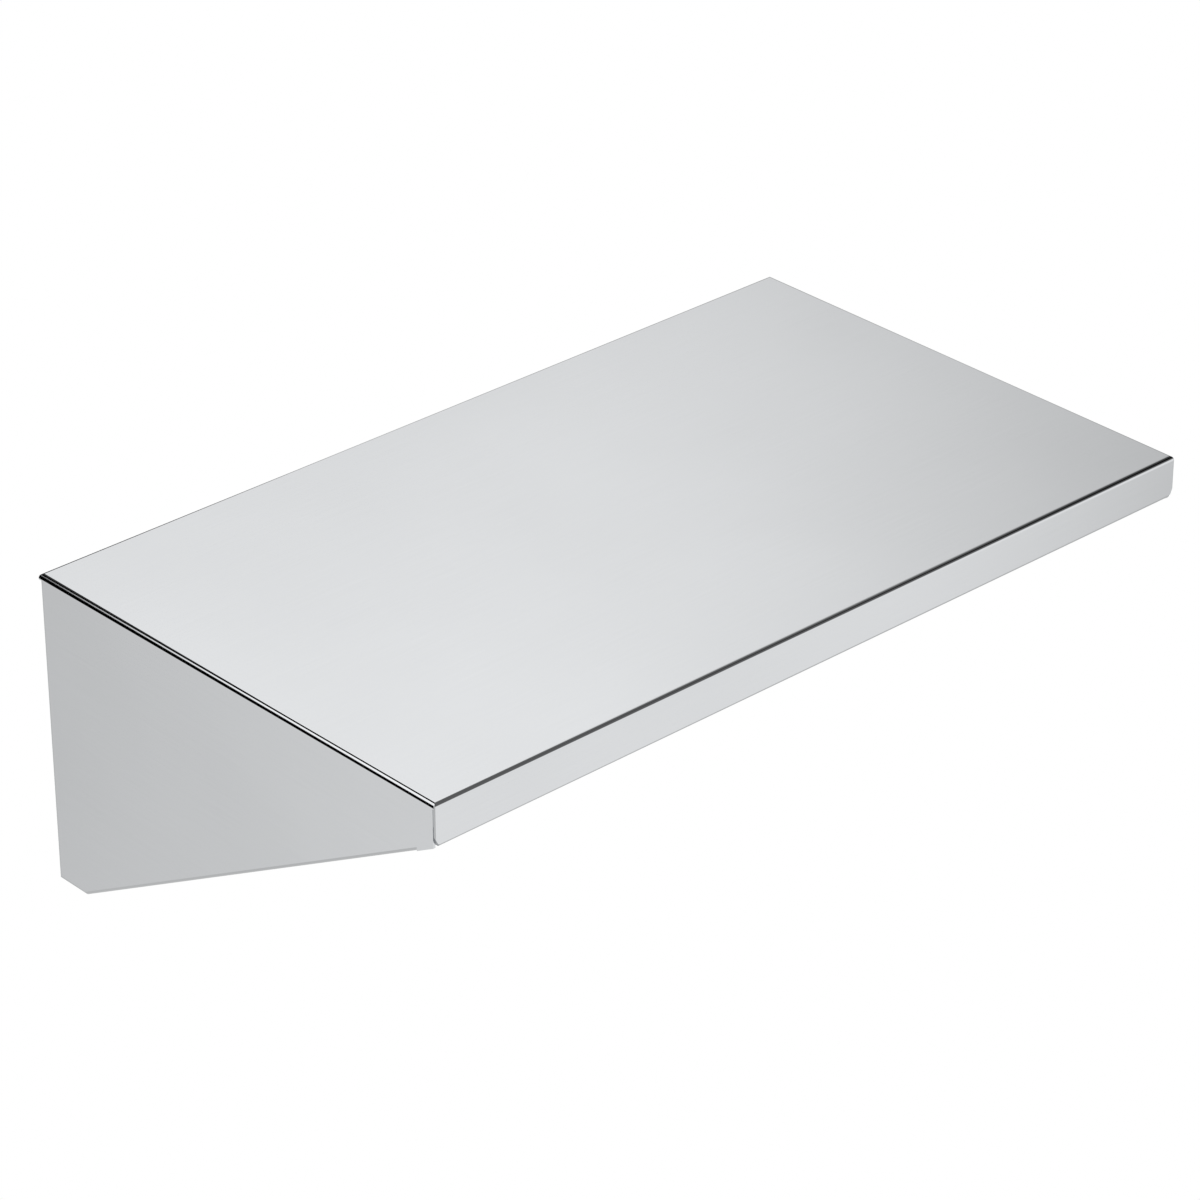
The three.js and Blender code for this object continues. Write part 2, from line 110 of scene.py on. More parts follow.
def object_of(name, mesh):
    """A mesh as an object of the scene, its doubles merged and its faces pointing outwards."""
    bm = bmesh.new()
    bm.from_mesh(mesh)
    bmesh.ops.remove_doubles(bm, verts=bm.verts, dist=MERGE_DISTANCE)
    bmesh.ops.dissolve_degenerate(bm, edges=bm.edges, dist=MERGE_DISTANCE)
    bmesh.ops.recalc_face_normals(bm, faces=bm.faces)
    bm.to_mesh(mesh)
    bm.free()
    made = bpy.data.objects.new(name, mesh)
    bpy.context.scene.collection.objects.link(made)
    return made


def lofted(name, rings, axes, origin):
    """A closed solid through rings of (x, y) points, each at a depth; axes turn it into place."""
    count = len(rings[0][0])
    points = [origin + axes @ Vector((*p, depth)) for ring, depth in rings for p in ring]
    faces = [range(count), range(len(points) - count, len(points))]
    for layer in range(len(rings) - 1):
        for i in range(count):
            a, b = layer * count + i, layer * count + (i + 1) % count
            faces.append((a, b, b + count, a + count))
    mesh = bpy.data.meshes.new(name)
    mesh.from_pydata(points, [], [tuple(f) for f in faces])
    return object_of(name, mesh)


def rounded_block(outline, start, end, inset, radius, corner_radius, axes, origin):
    """A block over an outline whose starting face meets its sides in a round fold."""
    rings = []
    for step in range(FOLD_STEPS + 1):
        turn = math.pi / 2 * step / FOLD_STEPS
        side = inset + radius * (1 - math.sin(turn))
        height = start + radius * (1 - math.cos(turn))
        rings.append((moved_in(outline, side, corner_radius), height))
    rings.append((moved_in(outline, inset, corner_radius), end))
    return lofted("block", rings, axes, origin)


def prism(outline, depth, axes, origin):
    return lofted("prism", [(outline, 0), (outline, depth)], axes, origin)


def box(low, high):
    outline = [(low[0], low[1]), (high[0], low[1]), (high[0], high[1]), (low[0], high[1])]
    return prism(outline, high[2] - low[2], Matrix.Identity(3), Vector((0, 0, low[2])))


def combine(target, tool, operation):
    """Cuts a tool from a target or joins it on, and throws the tool away."""
    change = target.modifiers.new("combine", "BOOLEAN")
    change.solver = "EXACT"
    change.operation = operation
    change.object = tool
    depsgraph = bpy.context.evaluated_depsgraph_get()
    mesh = bpy.data.meshes.new_from_object(target.evaluated_get(depsgraph))
    target.modifiers.clear()
    target.data = mesh
    bpy.data.objects.remove(tool)


def folded_tray(outline, depth, sheet, radius, corner_radius, axes, origin):
    """A flat sheet face with the sheet folded along every side of its outline."""
    tray = rounded_block(outline, 0, depth, 0, radius, corner_radius, axes, origin)
    inside = rounded_block(
        outline, sheet, depth + PAST, sheet, radius - sheet, corner_radius, axes, origin
    )
    combine(tray, inside, "DIFFERENCE")
    return tray


def arc(centre, radius, start, end, steps):
    """Points round a circle, from one angle to another in degrees."""
    angles = [math.radians(start + (end - start) * i / steps) for i in range(steps + 1)]
    return [(centre[0] + radius * math.cos(a), centre[1] + radius * math.sin(a)) for a in angles]


def angle_outline(along_x, along_y, sheet, radius):
    """An angle with a round fold, from the corner of its outer faces along x and along y."""
    outer = arc((radius, radius), radius, 270, 180, FOLD_STEPS)
    inner = arc((radius, radius), radius - sheet, 180, 270, FOLD_STEPS)
    return [(along_x, 0), *outer, (0, along_y), (sheet, along_y), *inner, (along_x, sheet)]


def slot_outline(length, width, quarter):
    """A slot with round ends about its middle, turned by a number of quarters."""
    reach = (length - width) / 2
    turn = 90 * quarter
    end = Matrix.Rotation(math.radians(turn), 2) @ Vector((reach, 0))
    first = arc(end, width / 2, turn - 90, turn + 90, ROUND_STEPS // 2)
    second = arc(-end, width / 2, turn + 90, turn + 270, ROUND_STEPS // 2)
    return first + second


def wall_cutter(outline, x, z):
    """A cutter drawn as seen on the wall, which runs through a flange that lies against it."""
    through = Matrix(((1, 0, 0), (0, 0, -1), (0, 1, 0)))
    return prism(outline, 2 * PAST, through, Vector((x, PAST, z)))


def dressed(piece, material, name):
    """Names a sheet piece, eases its cut edges, smooths its folds and keeps its flats flat."""
    piece.name = name
    piece.data.name = name
    bm = bmesh.new()
    bm.from_mesh(piece.data)
    bmesh.ops.remove_doubles(bm, verts=bm.verts, dist=CLEAN_DISTANCE)
    bmesh.ops.dissolve_degenerate(bm, edges=bm.edges, dist=CLEAN_DISTANCE)
    for face in bm.faces:
        face.smooth = True
        face.material_index = 0
    bm.to_mesh(piece.data)
    bm.free()
    piece.data.materials.clear()
    piece.data.materials.append(material)
    eased = piece.modifiers.new("deburr", "BEVEL")
    eased.width = DEBURR
    eased.segments = 2
    eased.limit_method = "ANGLE"
    eased.angle_limit = SHARP_ANGLE
    flats = piece.modifiers.new("flats", "WEIGHTED_NORMAL")
    flats.keep_sharp = True
    return piece


def add(tree, kind, inputs={}, **settings):
    """A node with its settings, and its inputs linked from sockets or set to values."""
    node = tree.nodes.new(kind)
    for key, value in settings.items():
        setattr(node, key, value)
    for key, value in inputs.items():
        if isinstance(value, bpy.types.NodeSocket):
            tree.links.new(value, node.inputs[key])
        else:
            node.inputs[key].default_value = value
    return node


def brushed_steel(name, colour, roughness, stretch, grain_depth, cloud_depth):
    """Bare steel sheet: fine drawn grain, faint clouds and specks, and rubbed edges that are
    rougher and lighter in colour, the lighter colour a painted highlight.
    """
    material = bpy.data.materials.new(name)
    material.use_nodes = True
    tree = material.node_tree
    tree.nodes.clear()
    place = add(tree, "ShaderNodeTexCoord").outputs["Object"]
    along = add(tree, "ShaderNodeMapping", {"Vector": place, "Scale": stretch}).outputs["Vector"]
    grain = add(
        tree, "ShaderNodeTexNoise",
        {"Vector": along, "Scale": 1.0, "Detail": 5.0, "Roughness": 0.65},
    ).outputs["Fac"]
    cloud = add(
        tree, "ShaderNodeTexNoise",
        {"Vector": place, "Scale": 7.0, "Detail": 3.0, "Roughness": 0.5},
    ).outputs["Fac"]
    speck = add(tree, "ShaderNodeTexVoronoi", {"Vector": place, "Scale": 160.0}).outputs["Distance"]
    pits = add(
        tree, "ShaderNodeMapRange",
        {"Value": speck, "From Min": 0.03, "From Max": 0.06, "To Min": 0.94, "To Max": 1.0},
    ).outputs["Result"]
    rounded = add(
        tree, "ShaderNodeBevel", {"Radius": WEAR_AND_HIGHLIGHT_RADIUS}, samples=4
    ).outputs["Normal"]
    facing = add(tree, "ShaderNodeNewGeometry").outputs["Normal"]
    bend = add(
        tree, "ShaderNodeVectorMath", {0: rounded, 1: facing}, operation="DOT_PRODUCT"
    ).outputs["Value"]
    # Edge mask from the rounded normal: the edges it finds are made rougher, as wear, and lighter
    # in colour, as a painted highlight.
    wear_and_highlight = add(
        tree, "ShaderNodeMapRange",
        {"Value": bend, "From Min": 0.97, "From Max": 0.85, "To Min": 0.0, "To Max": 0.6},
    ).outputs["Result"]
    streak = add(
        tree, "ShaderNodeMapRange",
        {"Value": grain, "From Min": 0.3, "From Max": 0.7,
         "To Min": 1 - grain_depth, "To Max": 1 + grain_depth},
    ).outputs["Result"]
    drift = add(
        tree, "ShaderNodeMapRange",
        {"Value": cloud, "From Min": 0.35, "From Max": 0.65,
         "To Min": 1 - cloud_depth, "To Max": 1 + cloud_depth},
    ).outputs["Result"]
    tone = add(tree, "ShaderNodeMath", {0: streak, 1: drift}, operation="MULTIPLY").outputs[0]
    tone = add(tree, "ShaderNodeMath", {0: tone, 1: pits}, operation="MULTIPLY").outputs[0]
    base = add(
        tree, "ShaderNodeVectorMath", {0: colour, "Scale": tone}, operation="SCALE"
    ).outputs["Vector"]
    # Painted highlight: a lighter copy of the colour, mixed in along the edges.
    painted_highlight_colour = [min(1.0, c * 1.12) for c in colour]
    base = add(
        tree, "ShaderNodeMix", {"Factor": wear_and_highlight, 6: base, 7: (*painted_highlight_colour, 1.0)}, data_type="RGBA"
    ).outputs[2]
    rough = add(
        tree, "ShaderNodeMapRange",
        {"Value": grain, "From Min": 0.3, "From Max": 0.7,
         "To Min": roughness * 0.85, "To Max": roughness * 1.2},
    ).outputs["Result"]
    rough = add(
        tree, "ShaderNodeMath", {0: wear_and_highlight, 1: 0.12, 2: rough}, operation="MULTIPLY_ADD"
    ).outputs[0]
    bump = add(
        tree, "ShaderNodeBump", {"Height": grain, "Strength": 0.05, "Distance": 0.02 * MM}
    ).outputs["Normal"]
    surface = add(
        tree, "ShaderNodeBsdfPrincipled",
        {"Base Color": base, "Metallic": 1.0, "Roughness": rough, "Normal": bump},
    )
    add(tree, "ShaderNodeOutputMaterial", {"Surface": surface.outputs["BSDF"]})
    return material


half_width = deck_high.x
top = deck_high.z
front = deck_low.y
lip_bottom = top - LIP_HEIGHT
lip_back = front + DECK_SHEET
flange_half = half_width - REAR_FLANGE_END_GAP
return_half = half_width - LIP_RETURN_END_GAP
side_edge_bottom = top - DECK_FOLD_RADIUS - SIDE_EDGE_STRAIGHT

face_down = Matrix(((1, 0, 0), (0, 1, 0), (0, 0, -1)))
deck_outline = [(-half_width, front), (half_width, front), (half_width, 0), (-half_width, 0)]
deck = folded_tray(
    deck_outline, top - deck_low.z, DECK_SHEET, DECK_FOLD_RADIUS, DECK_CORNER_RADIUS,
    face_down, Vector((0, 0, top)),
)
for side in (-1, 1):
    ends = sorted((side * flange_half, side * (half_width + PAST)))
    below_side = box((ends[0], lip_back, deck_low.z - PAST), (ends[1], PAST, side_edge_bottom))
    combine(deck, below_side, "DIFFERENCE")
under_lip = box(
    (-half_width - PAST, front - PAST, deck_low.z - PAST),
    (half_width + PAST, lip_back + PAST, lip_bottom + LIP_RETURN_FOLD_RADIUS),
)
combine(deck, under_lip, "DIFFERENCE")
along_x = Matrix(((0, 0, 1), (1, 0, 0), (0, 1, 0)))
lip_return = prism(
    angle_outline(LIP_RETURN_LENGTH, LIP_HEIGHT / 2, DECK_SHEET, LIP_RETURN_FOLD_RADIUS),
    2 * return_half, along_x, Vector((-return_half, front, lip_bottom)),
)
combine(deck, lip_return, "UNION")
for side in (-1, 1):
    taper = [
        (side * half_width, lip_bottom + LIP_END_TAPER_HEIGHT),
        (side * return_half, lip_bottom),
        (side * return_half, lip_bottom - PAST),
        (side * (half_width + PAST), lip_bottom - PAST),
        (side * (half_width + PAST), lip_bottom + LIP_END_TAPER_HEIGHT),
    ]
    taper_cutter = wall_cutter(taper, 0, 0)
    taper_cutter.data.transform(Matrix.Translation((0, front, 0)))
    combine(deck, taper_cutter, "DIFFERENCE")
    slot = slot_outline(FLANGE_SLOT_LENGTH, SCREW_SLOT_WIDTH, 0)
    slot_x = side * (flange_half - FLANGE_SLOT_INSET)
    combine(deck, wall_cutter(slot, slot_x, 0), "DIFFERENCE")

deck_steel = brushed_steel(
    "deck_steel", colour=(0.715, 0.728, 0.742), roughness=0.06,
    stretch=(14.0, 900.0, 900.0), grain_depth=0.012, cloud_depth=0.012,
)
dressed(deck, deck_steel, "folded_deck")
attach(deck, "root")
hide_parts("shelf_deck")

# -------------------------------------------------------------------------------------------------
# Brackets: a left one and its mirror image, each one piece of 1.5 mm stainless sheet. Folded
# flanges meet the wall and the deck, narrow returns stiffen the lower edges, and the deck flange
# ends in a tab behind the lip. The wall flange has a keyhole and an upright slot for screws.
BRACKET_SHEET = 1.5 * MM
BRACKET_FOLD_RADIUS = 2.5 * MM
BRACKET_CORNER_RADIUS = 1.2 * MM
CONTACT_GAP = 0.1 * MM
FOOT_LENGTH = 25 * MM
WALL_FLANGE_WIDTH = 30 * MM
DECK_FLANGE_WIDTH = 22 * MM
EDGE_RETURN_WIDTH = 12 * MM
EDGE_RETURN_FRONT_GAP = 3.5 * MM
FRONT_TAB_OVERLAP = 14 * MM
FRONT_TAB_END_GAP = 3.3 * MM
CORNER_SEAM_GAP = 1.7 * MM
RELIEF_WIDTH = 1 * MM
REAR_NOTCH_LENGTH = 4 * MM
SIDE_EDGE_GAP = 0.4 * MM
KEYHOLE_HEAD_DIAMETER = 13 * MM
KEYHOLE_NECK_LENGTH = 12 * MM
KEYHOLE_DROP = 44 * MM
LOWER_SLOT_LENGTH = 14 * MM
LOWER_SLOT_RISE = 30 * MM
STUD_HOLE_DIAMETER = 7 * MM

bracket_low, bracket_high = [Vector(corner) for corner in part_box("left_bracket")]
web_x = bracket_low.x
foot = bracket_low.z
bracket_top = bracket_high.z
fold_end_x = web_x + BRACKET_FOLD_RADIUS
web_inner_x = web_x + BRACKET_SHEET
wall_flange_x = web_x + WALL_FLANGE_WIDTH
deck_flange_x = web_x + DECK_FLANGE_WIDTH
web_front = lip_back + CORNER_SEAM_GAP
tab_front = lip_back + CONTACT_GAP
return_front = front + LIP_RETURN_LENGTH + EDGE_RETURN_FRONT_GAP
tab_bottom = lip_bottom + LIP_RETURN_FOLD_RADIUS + FRONT_TAB_END_GAP
wall_face = -BRACKET_SHEET


def slope_height(y):
    """The height of the bracket's sloped lower edge at a distance from the wall."""
    return lip_bottom - (lip_bottom - foot) * (y - front) / (-FOOT_LENGTH - front)


def keyhole_outline():
    """A round opening for a screw head with a narrow neck above it, about the top of the neck."""
    neck, head = SCREW_SLOT_WIDTH / 2, KEYHOLE_HEAD_DIAMETER / 2
    meet = math.degrees(math.asin(neck / head))
    upper = arc((0, 0), neck, 0, 180, ROUND_STEPS // 2)
    lower = arc((0, -KEYHOLE_NECK_LENGTH), head, 90 + meet, 450 - meet, ROUND_STEPS)
    return upper + lower


def bracket_cutters():
    outside, inside = web_x - PAST, wall_flange_x + PAST
    below, above_foot, return_top = foot - PAST, foot + PAST, lip_bottom + LIP_HEIGHT / 2
    far_front = front - 2 * PAST
    ceiling = top + PAST
    tab_back = tab_front + BRACKET_FOLD_RADIUS + PAST
    notch_bottom = side_edge_bottom - SIDE_EDGE_GAP
    slope_relief = -FOOT_LENGTH - RELIEF_WIDTH / 2
    screw_x = (fold_end_x + wall_flange_x) / 2
    lower_slot = slot_outline(LOWER_SLOT_LENGTH, SCREW_SLOT_WIDTH, 1)
    return [
        box((outside, far_front, below), (inside, web_front, ceiling)),
        box((deck_flange_x, front, return_top), (inside, wall_face, ceiling)),
        box((fold_end_x, front, return_top), (inside, tab_back, ceiling)),
        box((web_x + EDGE_RETURN_WIDTH, front, below), (inside, wall_face, return_top)),
        box((web_inner_x, front, below), (inside, return_front, return_top)),
        box((outside, -REAR_NOTCH_LENGTH, notch_bottom), (inside, PAST, ceiling)),
        box((fold_end_x, wall_face - RELIEF_WIDTH, below), (inside, wall_face, above_foot)),
        box((fold_end_x, slope_relief, below), (inside, slope_relief + RELIEF_WIDTH, above_foot)),
        wall_cutter(keyhole_outline(), screw_x, top - KEYHOLE_DROP),
        wall_cutter(lower_slot, screw_x, foot + LOWER_SLOT_RISE),
    ]


def web_corner(outline):
    """In front of the sloped return the web keeps its full thickness down to the slope."""
    plate = prism(outline, BRACKET_SHEET, along_x, Vector((web_x, 0, 0)))
    corner = box(
        (web_x - PAST, web_front, foot),
        (web_inner_x + PAST, return_front, lip_bottom + LIP_HEIGHT / 2),
    )
    combine(plate, corner, "INTERSECT")
    return plate


def front_tab():
    """The front end of the deck flange, folded down behind the lip."""
    outline = angle_outline(
        FRONT_TAB_OVERLAP, bracket_top - tab_bottom, BRACKET_SHEET, BRACKET_FOLD_RADIUS
    )
    drawn_down = Matrix(((0, 0, -1), (1, 0, 0), (0, -1, 0)))
    width = deck_flange_x - fold_end_x - RELIEF_WIDTH
    return prism(outline, width, drawn_down, Vector((deck_flange_x, tab_front, bracket_top)))


def stud_hole(node):
    """A cutter through a flange, about the axis of the weld stud that passes through it."""
    low, high = [Vector(corner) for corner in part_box(node)]
    middle = (low + high) / 2
    ring = arc((0, 0), STUD_HOLE_DIAMETER / 2, 0, 360, 2 * ROUND_STEPS)[:-1]
    if "front_tab" in node:
        cutter = wall_cutter(ring, middle.x, middle.z)
        cutter.data.transform(Matrix.Translation((0, tab_front, 0)))
        return cutter
    start = Vector((middle.x, middle.y, bracket_top - PAST))
    return prism(ring, 2 * PAST, Matrix.Identity(3), start)


def left_bracket():
    far_front = front - PAST
    outline = [
        (far_front, bracket_top), (far_front, slope_height(far_front)),
        (-FOOT_LENGTH, foot), (0, foot), (0, bracket_top),
    ]
    made = folded_tray(
        outline, WALL_FLANGE_WIDTH, BRACKET_SHEET, BRACKET_FOLD_RADIUS, BRACKET_CORNER_RADIUS,
        along_x, Vector((web_x, 0, 0)),
    )
    for cutter in bracket_cutters():
        combine(made, cutter, "DIFFERENCE")
    combine(made, web_corner(outline), "UNION")
    combine(made, front_tab(), "UNION")
    for place in ("1", "2", "3", "front_tab"):
        combine(made, stud_hole(f"weld_stud_left_{place}"), "DIFFERENCE")
    return made


bracket_steel = brushed_steel(
    "bracket_steel", colour=(0.695, 0.708, 0.722), roughness=0.08,
    stretch=(900.0, 16.0, 900.0), grain_depth=0.012, cloud_depth=0.012,
)
left = left_bracket()
right_mesh = left.data.copy()
right_mesh.transform(Matrix.Scale(-1, 4, (1, 0, 0)))
right = object_of("right", right_mesh)
for piece, name, node in (
    (left, "folded_left_bracket", "left_bracket"),
    (right, "folded_right_bracket", "right_bracket"),
):
    dressed(piece, bracket_steel, name)
    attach(piece, "root")
    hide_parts(node)

# -------------------------------------------------------------------------------------------------
# Deck stiffener: a hat channel of 1.2 mm steel under the middle of the deck, left in its duller
# mill finish. It is folded from one strip, and its two feet are spot welded to the deck.
STIFFENER_SHEET = 1.2 * MM
STIFFENER_FOLD_RADIUS = 2.2 * MM
STIFFENER_CROWN_WIDTH = 38 * MM

stiffener_low, stiffener_high = [Vector(corner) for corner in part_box("deck_stiffener")]


def stiffener_outline():
    """The section across the channel, crown down, as one closed outline about its middle."""
    middle = (stiffener_low.y + stiffener_high.y) / 2
    crown = STIFFENER_CROWN_WIDTH / 2
    bend, inner = STIFFENER_FOLD_RADIUS, STIFFENER_FOLD_RADIUS - STIFFENER_SHEET
    low, high = stiffener_low.z, stiffener_high.z
    foot_end = stiffener_high.y - middle
    wall = crown - STIFFENER_SHEET
    outer_half = [
        *arc((crown - bend, low + bend), bend, 270, 360, FOLD_STEPS),
        *arc((wall + bend, high - bend), inner, 180, 90, FOLD_STEPS),
        (foot_end, high - STIFFENER_SHEET),
    ]
    inner_half = [
        (foot_end, high),
        *arc((wall + bend, high - bend), bend, 90, 180, FOLD_STEPS),
        *arc((crown - bend, low + bend), inner, 360, 270, FOLD_STEPS),
    ]
    right_half = outer_half + inner_half
    left_half = [(-y, z) for y, z in reversed(right_half)]
    return [(middle + y, z) for y, z in right_half + left_half]


stiffener = prism(
    stiffener_outline(), stiffener_high.x - stiffener_low.x,
    along_x, Vector((stiffener_low.x, 0, 0)),
)
stiffener_steel = brushed_steel(
    "stiffener_steel", colour=(0.56, 0.57, 0.585), roughness=0.33,
    stretch=(40.0, 700.0, 700.0), grain_depth=0.05, cloud_depth=0.05,
)
dressed(stiffener, stiffener_steel, "folded_stiffener")
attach(stiffener, "root")
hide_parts("deck_stiffener")

# -------------------------------------------------------------------------------------------------
# Spot welds: two rows of pressed rings where the stiffener's feet are welded to the deck, each a
# raised rim, darkened by the heat.
WELD_DIAMETER = 5 * MM
WELD_RIM = 0.25 * MM
AROUND_WELD = 28
AROUND_RIM = 10
SMOOTH_BELOW = math.radians(35)      # small pieces look smooth where faces meet at less than this
WELD_PITCH = 42 * MM
WELD_END_MARGIN = 22 * MM


def socket_names(tree):
    return {item.name: item.identifier for item in tree.interface.items_tree}


def geometry_tree(name, sizes):
    """An empty Geometry Nodes tree with a geometry input and output and named size inputs."""
    tree = bpy.data.node_groups.new(name, "GeometryNodeTree")
    tree.interface.new_socket("Geometry", in_out="INPUT", socket_type="NodeSocketGeometry")
    for label, kind in sizes.items():
        tree.interface.new_socket(label, in_out="INPUT", socket_type=kind)
    tree.interface.new_socket("Geometry", in_out="OUTPUT", socket_type="NodeSocketGeometry")
    return tree, tree.nodes.new("NodeGroupInput").outputs


def seats_object(name, seats):
    """A cloud of points, each with the direction that its piece faces and its turn about it."""
    mesh = bpy.data.meshes.new(name)
    mesh.from_pydata([place for place, facing, turn in seats], [], [])
    mesh.attributes.new("facing", "FLOAT_VECTOR", "POINT")
    mesh.attributes.new("turn", "FLOAT", "POINT")
    for i, (place, facing, turn) in enumerate(seats):
        mesh.attributes["facing"].data[i].vector = facing
        mesh.attributes["turn"].data[i].value = turn
    made = bpy.data.objects.new(name, mesh)
    bpy.context.scene.collection.objects.link(made)
    return made


def stand_on_seats(tree, points, piece, material):
    """Ends a tree: stands the piece on every seat, makes the copies real and gives the material."""
    facing = add(
        tree, "GeometryNodeInputNamedAttribute", {"Name": "facing"}, data_type="FLOAT_VECTOR"
    )
    turn = add(tree, "GeometryNodeInputNamedAttribute", {"Name": "turn"}, data_type="FLOAT")
    aligned = add(
        tree, "FunctionNodeAlignRotationToVector", {"Vector": facing.outputs["Attribute"]}, axis="Z"
    ).outputs["Rotation"]
    spin = add(
        tree, "FunctionNodeAxisAngleToRotation",
        {"Axis": (0.0, 0.0, 1.0), "Angle": turn.outputs["Attribute"]},
    ).outputs["Rotation"]
    turned = add(
        tree, "FunctionNodeRotateRotation", {"Rotation": aligned, "Rotate By": spin},
        rotation_space="LOCAL",
    ).outputs["Rotation"]
    copies = add(
        tree, "GeometryNodeInstanceOnPoints",
        {"Points": points, "Instance": piece, "Rotation": turned},
    ).outputs["Instances"]
    real = add(tree, "GeometryNodeRealizeInstances", {"Geometry": copies}).outputs["Geometry"]
    smooth = add(tree, "GeometryNodeSetShadeSmooth", {"Geometry": real}).outputs["Geometry"]
    painted = add(
        tree, "GeometryNodeSetMaterial", {"Geometry": smooth, "Material": material}
    ).outputs["Geometry"]
    add(tree, "NodeGroupOutput", {"Geometry": painted})


def made_real(piece, tree, values):
    """Runs a tree on an object with its named inputs set, and keeps the result as a plain mesh."""
    modifier = piece.modifiers.new("copies", "NODES")
    modifier.node_group = tree
    names = socket_names(tree)
    for label, value in values.items():
        modifier[names[label]] = value
    depsgraph = bpy.context.evaluated_depsgraph_get()
    mesh = bpy.data.meshes.new_from_object(piece.evaluated_get(depsgraph))
    piece.modifiers.clear()
    piece.data = mesh
    return object_cleaned(piece)


def object_cleaned(piece):
    """Keeps the flats of a small piece flat, with its corners sharp."""
    bm = bmesh.new()
    bm.from_mesh(piece.data)
    bmesh.ops.remove_doubles(bm, verts=bm.verts, dist=CLEAN_DISTANCE)
    bmesh.ops.recalc_face_normals(bm, faces=bm.faces)
    for edge in bm.edges:
        edge.smooth = edge.calc_face_angle(0) < SMOOTH_BELOW
    bm.to_mesh(piece.data)
    bm.free()
    return piece


weld_steel = brushed_steel(
    "weld_steel", colour=(0.36, 0.33, 0.31), roughness=0.42,
    stretch=(900.0, 900.0, 900.0), grain_depth=0.12, cloud_depth=0.2,
)
weld_tree, weld_input = geometry_tree(
    "spot_welds", {"Diameter": "NodeSocketFloat", "Rim": "NodeSocketFloat"}
)
weld_radius = add(
    weld_tree, "ShaderNodeMath", {0: weld_input["Diameter"], 1: 0.5}, operation="MULTIPLY"
).outputs[0]
weld_circle = add(
    weld_tree, "GeometryNodeCurvePrimitiveCircle",
    {"Resolution": AROUND_WELD, "Radius": weld_radius},
).outputs["Curve"]
weld_section = add(
    weld_tree, "GeometryNodeCurvePrimitiveCircle",
    {"Resolution": AROUND_RIM, "Radius": weld_input["Rim"]},
).outputs["Curve"]
weld_ring = add(
    weld_tree, "GeometryNodeCurveToMesh", {"Curve": weld_circle, "Profile Curve": weld_section}
).outputs["Mesh"]
stand_on_seats(weld_tree, weld_input["Geometry"], weld_ring, weld_steel)

weld_seats = []
foot_bottom = stiffener_high.z - STIFFENER_SHEET
foot_middle = (STIFFENER_CROWN_WIDTH / 2 + (stiffener_high.y - stiffener_low.y) / 2) / 2
weld_row = stiffener_high.x - stiffener_low.x - 2 * WELD_END_MARGIN
weld_count = round(weld_row / WELD_PITCH) + 1
for side in (-1, 1):
    for i in range(weld_count):
        x = stiffener_low.x + WELD_END_MARGIN + weld_row * i / (weld_count - 1)
        y = (stiffener_low.y + stiffener_high.y) / 2 + side * foot_middle
        weld_seats.append(((x, y, foot_bottom), (0, 0, -1), 0.0))
spot_welds = made_real(
    seats_object("spot_welds", weld_seats), weld_tree, {"Diameter": WELD_DIAMETER, "Rim": WELD_RIM}
)
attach(spot_welds, "root")

# -------------------------------------------------------------------------------------------------
# Weld studs: M5 threaded studs of stainless steel, capacitor welded to the underside of the deck
# and to the back of the lip. Each has a round weld base, a rolled thread and a chamfered tip.
STUD_DIAMETER = 5 * MM
THREAD_PITCH = 0.8 * MM
THREAD_DEPTH = 0.42 * MM
STUD_BASE_THICKNESS = 0.7 * MM
STUD_BASE_EASING = 0.15 * MM
SHANK_MARGIN = 0.01 * MM             # rows this near the stud's radius carry the thread
STUD_TIP_CHAMFER = 0.6 * MM
THREAD_ROWS_PER_TURN = 8
AROUND_STUD = 24
NUT_TURN_STEP = math.radians(23)
PLACES = ("1", "2", "3", "front_tab")


def seats_of(kind):
    """Where the pieces of one kind stand, on the side towards the deck, and how they are turned."""
    seats = []
    for side, sign in (("left", -1), ("right", 1)):
        for i, place in enumerate(PLACES):
            low, high = [Vector(corner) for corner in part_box(f"{kind}_{side}_{place}")]
            centre = (low + high) / 2
            if place == "front_tab":
                seats.append(((centre.x, low.y, centre.z), (0, 1, 0), sign * NUT_TURN_STEP))
            else:
                seats.append(((centre.x, centre.y, high.z), (0, 0, -1), i * NUT_TURN_STEP))
    return seats


def replace_all(piece, kind):
    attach(piece, "root")
    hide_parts(*[f"{kind}_{side}_{place}" for side in ("left", "right") for place in PLACES])


def turned_solid(name, profile, around, ripple=None):
    """A closed solid turned about Z; a ripple moves a point's radius by its angle and height."""
    rings = []
    for radius, height in profile:
        ring = []
        for i in range(around):
            angle = 2 * math.pi * i / around
            reach = radius + (ripple(angle, radius, height) if ripple else 0)
            ring.append((reach * math.cos(angle), reach * math.sin(angle)))
        rings.append((ring, height))
    return lofted(name, rings, Matrix.Identity(3), Vector((0, 0, 0)))


stud_low, stud_high = [Vector(corner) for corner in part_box("weld_stud_left_1")]
stud_length = stud_high.z - stud_low.z
stud_base = (stud_high.x - stud_low.x) / 2


def thread_ripple(angle, radius, height):
    """The V of the thread, which fades in above the base."""
    if abs(radius - STUD_DIAMETER / 2) > SHANK_MARGIN:
        return 0
    turns = height / THREAD_PITCH - angle / (2 * math.pi)
    wave = abs(2 * (turns - math.floor(turns)) - 1)
    fade = min(1, (height - STUD_BASE_THICKNESS) / THREAD_PITCH)
    return -THREAD_DEPTH * wave * max(fade, 0)


